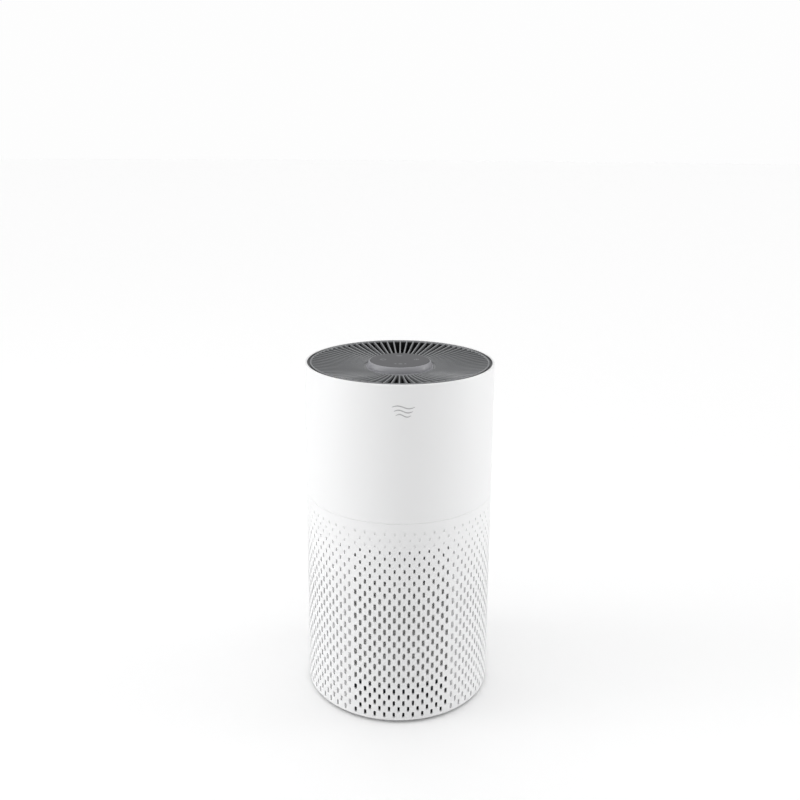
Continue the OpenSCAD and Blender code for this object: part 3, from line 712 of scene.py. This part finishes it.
def fin_section(steps=2):
    """Offsets across the fin and falls below its top, for one pass from left to right over the two
    rounded top edges."""
    half, round_r = FIN_T / 2, 0.45 * MM
    turn = np.radians(np.linspace(180, 90, steps + 1))
    left = np.stack([-half + round_r + round_r * np.cos(turn), round_r * (np.sin(turn) - 1)], 1)
    right = left[::-1] * [-1, 1]
    return np.concatenate([left, right])


def fins(stations=14):
    """All fins: a point at station radius r and section offset s lies at distance r along the fin's
    own direction and s across it."""
    r = np.linspace(HUB_R - 0.4 * MM, FIN_END, stations)
    top = dish_height(r)
    t = (r - r[0]) / (r[-1] - r[0])
    bottom = HUB_LOW * (1 - t) + (SHELF_Z + 3.5 * MM) * t
    section = fin_section()
    across = np.concatenate([[-FIN_T / 2] * 2, section[:, 0], [FIN_T / 2] * 2])
    shade_line = (top - PAINTED_SHADE_DEPTH)[:, None]
    height = np.concatenate([bottom[:, None], shade_line, top[:, None] + section[None, :, 1], shade_line,
                             bottom[:, None]], 1)
    angle = 2 * np.pi * (np.arange(FINS) + 0.5) / FINS + np.pi / 2
    along = np.stack([np.cos(angle), np.sin(angle)], 1)
    side = np.stack([-np.sin(angle), np.cos(angle)], 1)
    xy = (r[None, :, None, None] * along[:, None, None, :]
          + across[None, None, :, None] * side[:, None, None, :])
    z = np.broadcast_to(height[None, :, :, None], xy.shape[:3] + (1,))
    verts = np.concatenate([xy, z], 3)
    points = len(across)
    return verts.reshape(-1, 3), copies(tube_faces(stations, points), FINS, stations * points)


# %% Make the grille
bead = turned([(BEAD_R - BEAD_W, SHELF_Z + 3 * MM), (BEAD_R, SHELF_Z + 3 * MM)]
              + arc(BEAD_R - BEAD_W / 2, RIM_Z - BEAD_W / 2, BEAD_W / 2, 0, 180, 10)
              + [(BEAD_R - BEAD_W, RIM_Z - 1.8 * MM)], 240)
hub = turned([(HUB_IN - 3.6 * MM, HUB_LOW), (HUB_R, HUB_LOW)]
             + steps_from(HUB_R, HUB_TOP, (0, -0.5), (-0.15, -0.15), (-0.5, 0))
             + steps_from(HUB_IN, HUB_TOP, (0.4, 0), (0, -0.4))
             + steps_from(HUB_IN, HUB_LOW, (0, 5), (-3.6, 5)), 180)
outlet_grille = new_piece("outlet_grille", joined([bead, hub, fins()]), "grille_grey", "housing",
                          ["top_grille"], crease=40)
# Painted shade: fin faces below the shade line and the bead's faces below its top get the near-black trim
# finish, so that the gaps between the fins read black.
second_finish(outlet_grille, "trim_dark", lambda r, z: np.where(
    r > FIN_END, z < RIM_Z - 1.7 * MM, (r > HUB_R + 0.1 * MM) & (z < dish_height(r) - PAINTED_SHADE_DEPTH)))
print("grille faces:", len(outlet_grille.data.polygons))

# %% [markdown]
# ## The control ring and the touch panel
# A light grey ring flares down from the panel to the hub, like the neck of a button. The panel is a
# dark disc let into it, with a hair of a gap all round. Its marks are printed: thin pads a twentieth
# of a millimetre high, in plain shapes such as a dash, arcs and dots.

# %% Make the control ring and panel disc
RING_TOP_R = PANEL_R + 0.2 * MM
SHELF_IN = 29 * MM
seat_low = node_heights("control_housing")[0]
flare = (steps_from(RING_TOP_R, HUB_TOP, (2.8, 0), (2.78, 1.2))
         + steps_from(RING_TOP_R, RIM_Z, (2.6, -4.8), (2.2, -3.4), (1.65, -2), (1.1, -0.9), (0.75, -0.4),
                      (0.4, -0.22), (0.1, -0.25), (0, -0.4)))
control_profile = ([(HUB_IN - 0.3 * MM, seat_low), (HUB_IN - 0.3 * MM, HUB_TOP)] + flare
                   + steps_from(RING_TOP_R, PANEL_LOW, (0, 0), (-2, 0), (-2, -1.5))
                   + steps_from(RING_TOP_R, RIM_Z, (0, -8), (0, -12))
                   + steps_from(SHELF_IN, RIM_Z, (0, -12), (0, -14))
                   + [(RING_TOP_R + MM, RIM_Z - 14 * MM), (RING_TOP_R + MM, seat_low)])
control_ring = new_piece("control_ring", turned(control_profile), "puck_grey", "housing",
                         ["control_housing"], crease=30)
panel_profile = ([(0, PANEL_LOW), (PANEL_R, PANEL_LOW)]
                 + arc(PANEL_R - 0.35 * MM, PANEL_TOP - 0.35 * MM, 0.35 * MM, 0, 90, 4)
                 + [(PANEL_R - 4 * MM, PANEL_TOP), (0, PANEL_TOP)])
new_piece("panel_disc", turned(panel_profile), "panel_grey", "housing", ["touch_panel"], crease=30)
print("control ring faces:", len(control_ring.data.polygons))

# %% [markdown]
# Each printed mark is a stroke: a centre line widened to both sides and given a little height. Arcs,
# bars and dots are all strokes, so one function draws the power ring, the fan arcs and the clock.

# %% Printed marks
PRINT_H = 0.05 * MM


def stroke(points, width):
    """Thin bar along a line of (x, y) points: the line is moved half a width to both sides, square to
    its local direction, and closed over a small height."""
    line = np.asarray(points, float) * MM
    slope = np.gradient(line, axis=0)
    slope /= np.linalg.norm(slope, axis=1, keepdims=True)
    across = np.stack([-slope[:, 1], slope[:, 0]], 1) * width * MM / 2
    edge = np.stack([line - across, line + across], 1)
    low = np.concatenate([edge, np.full(edge.shape[:2] + (1,), PANEL_TOP - 0.02 * MM)], 2)
    high = np.concatenate([edge, np.full(edge.shape[:2] + (1,), PANEL_TOP + PRINT_H)], 2)
    verts = np.concatenate([low, high[:, ::-1]], 1).reshape(-1, 3)
    return verts, tube_faces(len(line), 4)


def bow(cx, cy, radius, start, end, width=0.45, steps=16):
    """Stroke along an arc of a circle, between two angles in degrees."""
    turn = np.radians(np.linspace(start, end, steps + 1))
    return stroke(np.stack([cx + radius * np.cos(turn), cy + radius * np.sin(turn)], 1), width)


def bar(x0, y0, x1, y1, width=0.45):
    """Straight stroke between two points."""
    return stroke(np.linspace((x0, y0), (x1, y1), 3), width)


marks = [bar(-3.4, 21.5, 3.4, 21.5, 1.1), bar(-2.0, 19.4, 2.0, 19.4, 0.4)]
for turn in (90, 210, 330):
    c, s = math.cos(math.radians(turn)), math.sin(math.radians(turn))
    marks.append(bow(-19.5 + 1.3 * c, 2 + 1.3 * s, 1.3, turn - 90, turn + 90))
marks += [bow(-19.5, 2, 3.4, 0, 360, 0.35, 28), bow(19.5, 2, 2.6, 0, 360, 0.4, 24),
          bar(19.5, 2, 19.5, 3.7), bar(19.5, 2, 20.8, 1.4)]
marks += [bow(0, -18.5, 1.9, 125, 415, 0.6, 20), bar(0, -18.2, 0, -15.9, 0.6)]
for x in (-5.6, 5.6):
    marks += [bar(x - 1.1, y, x + 1.1, y, 0.5) for y in (-17.4, -18.6, -19.8)]
new_piece("panel_marks", joined(marks), "panel_grey", "housing", finish="icon_print")
print("marks:", len(marks))

# %% [markdown]
# ## The sign on the front
# Three waves of falling length stand for moving air. Each is a swept stroke that lies on the shell's
# round face, tapers at both ends and swells to a soft ridge in the middle.

# %% Make the waves
EMBLEM_Z = RIM_Z - 29 * MM


def wave_stroke(width, height, thick=1.3 * MM, along=40, round_steps=6):
    """Point at place u along the wave and turn v round its section: the centre line is a sine of one
    period, its half width falls almost to nothing at the ends as the square root of 1 - u**4, and
    the section is a low half ellipse whose back is sunk into the shell."""
    u = np.linspace(-1, 1, along)
    x = u * width / 2
    z = height + 1.5 * MM * np.sin(np.pi * (u + 1))
    half = thick / 2 * np.clip(1 - u ** 4, 0.002, 1) ** 0.5
    v = np.linspace(0, np.pi, round_steps + 1)
    up = z[:, None] + half[:, None] * np.cos(v)[None, :]
    out = BODY_R + 0.22 * MM * np.sin(v)[None, :] * (half / half.max())[:, None]
    back_up = z[:, None] + half[:, None] * np.array([-1.0, 1.0])
    radius = np.concatenate([out, np.full((along, 2), BODY_R - 0.5 * MM)], 1)
    rise = np.concatenate([up, back_up], 1)
    angle = -np.pi / 2 + x[:, None] / BODY_R
    verts = np.stack([radius * np.cos(angle), radius * np.sin(angle), rise], -1)
    return verts.reshape(-1, 3), tube_faces(along, radius.shape[1])


waves = [wave_stroke(25 * MM * (1 - 0.17 * k), EMBLEM_Z + (1 - k) * 4.6 * MM) for k in range(3)]
air_waves = new_piece("air_waves", joined(waves), "emblem_grey", "housing", ["emblem"], crease=50)
print("wave faces:", len(air_waves.data.polygons))

# %% [markdown]
# ## The filter cartridge
# The paper is folded into narrow pleats between two moulded caps. Seen from above, the paper's line
# swings between an outer and an inner radius as a rounded triangle wave, which is the arc sine of a
# slightly shrunken sine. The sheet gets its thickness by moving along the line's own normal.

# %% Make the pleated paper
PLEATS = 120
media_low, media_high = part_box("filter_media")
PLEAT_OUT = round(media_high.x, 4) - 0.3 * MM
PLEAT_IN = PLEAT_OUT - 24.5 * MM


def pleated(points_per_pleat=10, rows=9, thick=0.7 * MM):
    """Line at angle a: radius = middle + swing * asin(0.985 sin(n a)) / asin(0.985), moved half the
    thickness along its normal to both sides, and leaning a little from row to row as paper does."""
    steps = PLEATS * points_per_pleat
    a = 2 * np.pi * np.arange(steps) / steps
    middle, swing = (PLEAT_OUT + PLEAT_IN) / 2, (PLEAT_OUT - PLEAT_IN) / 2
    z = np.linspace(media_low.z, media_high.z, rows)
    lean = 0.12 * np.sin(3 * a[None, :] + np.linspace(0, 5, rows)[:, None])
    wave = np.arcsin(0.985 * np.sin(PLEATS * a[None, :] + lean)) / math.asin(0.985)
    radius = middle + swing * wave
    line = np.stack([radius * np.cos(a), radius * np.sin(a)], -1)
    slope = np.roll(line, -1, 1) - np.roll(line, 1, 1)
    normal = np.stack([slope[..., 1], -slope[..., 0]], -1)
    normal /= np.linalg.norm(normal, axis=-1, keepdims=True)
    sides = [line + normal * thick / 2, line - normal * thick / 2]
    tall = np.broadcast_to(z[:, None, None], (rows, steps, 1))
    verts = np.concatenate([np.concatenate([side, tall], -1).reshape(-1, 3) for side in sides])
    outer = rows_of_quads(rows, steps)
    inner = outer[:, ::-1] + rows * steps
    edge = np.arange(steps)
    after = (edge + 1) % steps
    foot = np.stack([edge, edge + rows * steps, after + rows * steps, after], -1)
    top = (foot + (rows - 1) * steps)[:, ::-1]
    return verts, np.concatenate([outer, inner, foot, top]).tolist()


filter_paper = new_piece("filter_paper", pleated(), "media_paper", "filter", ["filter_media"], crease=60)
print("paper faces:", len(filter_paper.data.polygons))

# %% [markdown]
# A nylon net is wrapped round the pleats and catches lint. It is made of real strands, upright ones
# and rings, each with a square section turned on its edge, so that light and dark pass through it.

# %% Make the net
net_low, net_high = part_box("prefilter_mesh")
NET_R = round(net_high.x, 4) - 0.3 * MM
UPRIGHTS, RINGS = 288, 104
STRAND = 0.16 * MM


def net_rings(steps=144):
    """Rings of square section: at each height z the corners (NET_R + d, z), (NET_R, z + d),
    (NET_R - d, z) and (NET_R, z - d), with d the strand's half diagonal, are turned about the axis."""
    return joined([turned([(NET_R + STRAND, z), (NET_R, z + STRAND), (NET_R - STRAND, z),
                           (NET_R, z - STRAND)], steps)
                   for z in np.linspace(net_low.z + MM, net_high.z - MM, RINGS)])


def net_uprights():
    """Upright strands: four corners round the strand's centre, repeated at its foot and its top."""
    a = 2 * np.pi * np.arange(UPRIGHTS) / UPRIGHTS
    centre = (NET_R - 0.1 * MM) * np.stack([np.cos(a), np.sin(a)], -1)
    corner = STRAND * np.array([[1, 0], [0, 1], [-1, 0], [0, -1]])
    xy = centre[:, None, :] + corner[None, :, :]
    ends = [np.concatenate([xy, np.full(xy.shape[:2] + (1,), z)], -1) for z in (net_low.z, net_high.z)]
    verts = np.concatenate(ends, 1).reshape(-1, 3)
    return verts, copies(tube_faces(2, 4), UPRIGHTS, 8)


lint_net = new_piece("lint_net", joined([net_rings(), net_uprights()]), "mesh_nylon", "filter",
                     ["prefilter_mesh"], crease=80)
print("net faces:", len(lint_net.data.polygons))

# %% [markdown]
# A thin fleece is bonded to the back of the net and catches hair and lint. It is one closed tube, and it
# gives the slots of the shell their even grey when you look through them.

# %% Make the fleece
FLEECE_R = NET_R - STRAND - 0.12 * MM
FLEECE_T = 0.25 * MM
fleece_low, fleece_high = net_low.z + 0.3 * MM, net_high.z - 0.3 * MM
new_piece("net_fleece", turned([
    (FLEECE_R, fleece_low), (FLEECE_R, fleece_high), (FLEECE_R - FLEECE_T, fleece_high),
    (FLEECE_R - FLEECE_T, fleece_low)], 240), "mesh_nylon", "filter",
    ["prefilter_mesh"], finish="lint_fleece")
print("fleece radius", round(FLEECE_R, 4), "paper radius", round(node_radius("filter_media"), 4))

# %% [markdown]
# The caps are cast from polyurethane onto the paper's ends. Their edges come out of the mould softly
# rounded, with a shallow ridge round the lip that holds the net.

# %% Make the caps
CAP_R = node_radius("filter_top_cap")
cap_low, cap_high = node_heights("filter_bottom_cap")
bottom_profile = ([(0, cap_low)] + arc(CAP_R - MM, cap_low + MM, MM, -90, 0, 4)
                  + steps_from(CAP_R, cap_high, (0, -1.6), (-0.5, -0.9), (-0.5, -0.5), (-0.9, 0), (-1.5, 0))
                  + [(CAP_R - 1.5 * MM, media_low.z), (0, media_low.z)])
bottom_cap = new_piece("cast_bottom_cap", turned(bottom_profile), "cap_foam", "filter",
                       ["filter_bottom_cap"], crease=40)
top_low, top_high = node_heights("filter_top_cap")
CORE_R = 56 * MM
top_profile = ([(CORE_R, media_high.z), (CAP_R - 1.5 * MM, media_high.z)]
               + steps_from(CAP_R, top_low, (-1.5, 0), (-0.9, 0), (-0.5, 0.5), (-0.5, 0.9), (0, 1.6))
               + arc(CAP_R - MM, top_high - MM, MM, 0, 90, 4)
               + arc(CORE_R + MM, top_high - MM, MM, 90, 180, 4))
top_cap = new_piece("cast_top_cap", turned(top_profile), "cap_foam", "filter", ["filter_top_cap"],
                    crease=40)
print("cap faces:", len(bottom_cap.data.polygons), len(top_cap.data.polygons))

# %% [markdown]
# A woven ribbon under the bottom cap draws the cartridge out. It is a flat strap, folded back on
# itself at its free end, and its own UV map carries the weave.

# %% Make the pull ribbon
tab_low, tab_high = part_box("filter_pull_tab")
WEAVE_REPEAT = 14 * MM


def ribbon(thick=0.36 * MM, along=60, wide=5):
    """Strap along a path that runs out to the fold and back, with a half round at the fold: at place s
    its centre lies on the path, and the strap is moved half a thickness along the path's normal."""
    y0, y1 = tab_high.y - 0.5 * MM, tab_low.y + 1.2 * MM
    z0, z1 = tab_high.z - 0.25 * MM, tab_low.z + 0.25 * MM
    out = np.stack([np.linspace(y0, y1, along), np.full(along, z0)], 1)
    turn = np.linspace(np.pi / 2, 3 * np.pi / 2, 9)[1:-1]
    fold = np.stack([y1 + (z0 - z1) / 2 * np.cos(turn), (z0 + z1) / 2 + (z0 - z1) / 2 * np.sin(turn)], 1)
    back = np.stack([np.linspace(y1, y0 - 12 * MM, along), np.full(along, z1)], 1)
    path = np.concatenate([out, fold, back])
    slope = np.gradient(path, axis=0)
    slope /= np.linalg.norm(slope, axis=1, keepdims=True)
    normal = np.stack([-slope[:, 1], slope[:, 0]], 1) * thick / 2
    x = np.linspace(tab_low.x, tab_high.x, wide)
    loop_x = np.concatenate([x, x[::-1]])
    ring = np.repeat(np.stack([path + normal, path - normal], 1), wide, 1)
    verts = np.concatenate([np.broadcast_to(loop_x[None, :, None], ring.shape[:2] + (1,)), ring], 2)
    return verts.reshape(-1, 3), tube_faces(len(path), 2 * wide)


pull_ribbon = new_piece("pull_ribbon", ribbon(), "tab_ribbon", "filter", ["filter_pull_tab"], crease=60)
layer = pull_ribbon.data.uv_layers.new(name="weave")
corner_vertex = np.zeros(len(pull_ribbon.data.loops), int)
pull_ribbon.data.loops.foreach_get("vertex_index", corner_vertex)
place = np.zeros(len(pull_ribbon.data.vertices) * 3)
pull_ribbon.data.vertices.foreach_get("co", place)
place = place.reshape(-1, 3)[corner_vertex]
across = (place[:, 0] - tab_low.x) / (tab_high.x - tab_low.x)
layer.data.foreach_set("uv", np.stack([across, (place[:, 1] - tab_low.y) / WEAVE_REPEAT], 1).ravel())
print("ribbon faces:", len(pull_ribbon.data.polygons))

# %% [markdown]
# ## The foot ring
# The purifier stands on a rubber ring. Its lower edge is rounded, and three fine ribs run round it so
# that it grips.

# %% Make the foot ring
FOOT_OUT = node_radius("foot_ring")
FOOT_H = node_heights("foot_ring")[1]
FOOT_IN = FOOT_OUT - 8 * MM
foot_profile = [(FOOT_OUT, FOOT_H), (FOOT_OUT, 0.5 * MM), (FOOT_OUT - 0.15 * MM, 0.15 * MM)]
for k in range(3):
    mid = FOOT_OUT - (1.6 + 2.4 * k) * MM
    foot_profile += steps_from(mid, 0, (0.9, 0), (-0.5, 0), (-0.75, 0.3), (-1.15, 0.3))
foot_profile += [(FOOT_IN + 0.3 * MM, 0.15 * MM), (FOOT_IN, 0.5 * MM), (FOOT_IN, FOOT_H)]
ribbed_foot = new_piece("ribbed_foot", turned(foot_profile), "foot_rubber", "base", ["foot_ring"])
print("foot faces:", len(ribbed_foot.data.polygons))

# %% [markdown]
# ## Finishes for the CAD pieces that stay
# The base cover, the duct, the fan, its motor and the boards already have their true shape, so they
# only get a finish. Their meshes are left alone.

# %% Give the CAD pieces their finish
SLOT_OF = {part["node"]: part["material_slot"] for part in frame["record"]["subparts"]}
for node, piece in frame["nodes"].items():
    if node not in REPLACED:
        finish_piece(piece, SLOT_OF[node])
print("CAD pieces kept:", len(frame["nodes"]) - len(REPLACED))

# %% [markdown]
# ## Studio
# White appliances are lit from large soft boxes at both sides, so that the body's edges melt into the
# bright background and a soft grey band stays down the middle. A graded sky does this without noise:
# bright to the left and right, dimmer at the front. The camera's own rays see a plain white sky.

# %% Floor and sky
FLOOR_R = 40
FLOOR_T = 0.02
FLOOR_COLOR = (0.955, 0.955, 0.955)
SKY_BASE = 0.02
SKY_SEEN = 0.985


def make_floor():
    """Plain pale disc under everything."""
    shader = new_finish("pale_floor", FLOOR_COLOR)[1]
    set_inputs(shader, Base_Color=(*FLOOR_COLOR, 1), Roughness=0.9, Specular_IOR_Level=0.1)
    disc = turned([(0, -FLOOR_T), (FLOOR_R, -FLOOR_T), (FLOOR_R, 0), (0, 0)], 96)
    floor = in_scene("studio_floor", welded_mesh("studio_floor", *disc))
    finish_piece(floor, "pale_floor")


def graded_sky(lobes):
    """Sky whose strength in a direction d is the sum of weight * max(d . axis, 0) ** power over its
    lobes, each given as (axis, power, weight)."""
    world = bpy.data.worlds.new("studio_sky")
    bpy.context.scene.world = world
    world.use_nodes = True
    tree = world.node_tree
    background = tree.nodes["Background"]
    coords = tree.nodes.new("ShaderNodeTexCoord")
    total = SKY_BASE
    for axis, power, weight in lobes:
        dot = tree.nodes.new("ShaderNodeVectorMath")
        dot.operation = "DOT_PRODUCT"
        tree.links.new(coords.outputs["Generated"], dot.inputs[0])
        dot.inputs[1].default_value = Vector(axis).normalized()
        facing = math_output(tree, "MAXIMUM", dot.outputs["Value"], 0.0)
        lobe = math_output(tree, "POWER", facing, power)
        total = math_output(tree, "ADD", math_output(tree, "MULTIPLY", lobe, weight), total)
    camera_ray = tree.nodes.new("ShaderNodeLightPath").outputs["Is Camera Ray"]
    seen = math_output(tree, "MULTIPLY", camera_ray, SKY_SEEN)
    unseen = math_output(tree, "MULTIPLY", total, math_output(tree, "SUBTRACT", 1.0, camera_ray))
    tree.links.new(math_output(tree, "ADD", seen, unseen), background.inputs["Strength"])
    set_inputs(background, Color=(1, 1, 1, 1))


make_floor()
graded_sky([((-1, -0.06, 0), 40, 14.6), ((1, 0.06, 0), 40, 12.8), ((0, 0, 1), 1, 1.4)])
bpy.context.scene.view_settings.view_transform = "Standard"
print("floor and sky ready")

# %% [markdown]
# A large soft box high on the left gives the top a direction: fin tops and the control ring catch it.

# %% Soft box
def soft_box(name, place, target, size, power):
    """Square area lamp at a place, turned to a target."""
    lamp = bpy.data.lights.new(name, "AREA")
    lamp.size = size
    lamp.energy = power
    piece = in_scene(name, lamp)
    aim = (Vector(target) - Vector(place)).to_track_quat("-Z", "Y")
    piece.matrix_world = Matrix.Translation(place) @ aim.to_matrix().to_4x4()
    piece.visible_camera = False


soft_box("soft_box_left", (-1.5, -0.3, 1.9), (0, 0, 0.3), 1.2, 3)

# %% [markdown]
# ## Camera
# The camera stands about a metre away and looks a little down on the purifier. A small downward shift
# of the lens lets it tilt less, so that the verticals stay nearly upright.

# %% Place the camera
HEADING = math.radians(2.14)
PITCH = 0.21289
ROLL = 0.00704
DISTANCE = 9.05305 * BODY_R
HEIGHT = 5.81645 * BODY_R + SHELL_LOW
LENS = 39.54
SHIFT = -0.08
camera_data = bpy.data.cameras.new("studio_camera")
camera_data.sensor_width = 36
camera_data.lens = LENS
camera_data.shift_y = SHIFT
camera_data.clip_start = 0.01
camera_data.clip_end = 100
camera = in_scene("studio_camera", camera_data)
level = Vector((math.sin(HEADING), math.cos(HEADING), 0))
forward = level * math.cos(PITCH) - Vector((0, 0, math.sin(PITCH)))
right = forward.cross(Vector((0, 0, 1))).normalized()
up = right.cross(forward)
side = right * math.cos(ROLL) + up * math.sin(ROLL)
rise = up * math.cos(ROLL) - right * math.sin(ROLL)
place = Vector((0, 0, HEIGHT)) - level * DISTANCE
turn = Matrix((side, rise, -forward)).transposed()
camera.matrix_world = Matrix.Translation(place) @ turn.to_4x4()
bpy.context.scene.camera = camera
print("camera at", [round(v, 3) for v in place])
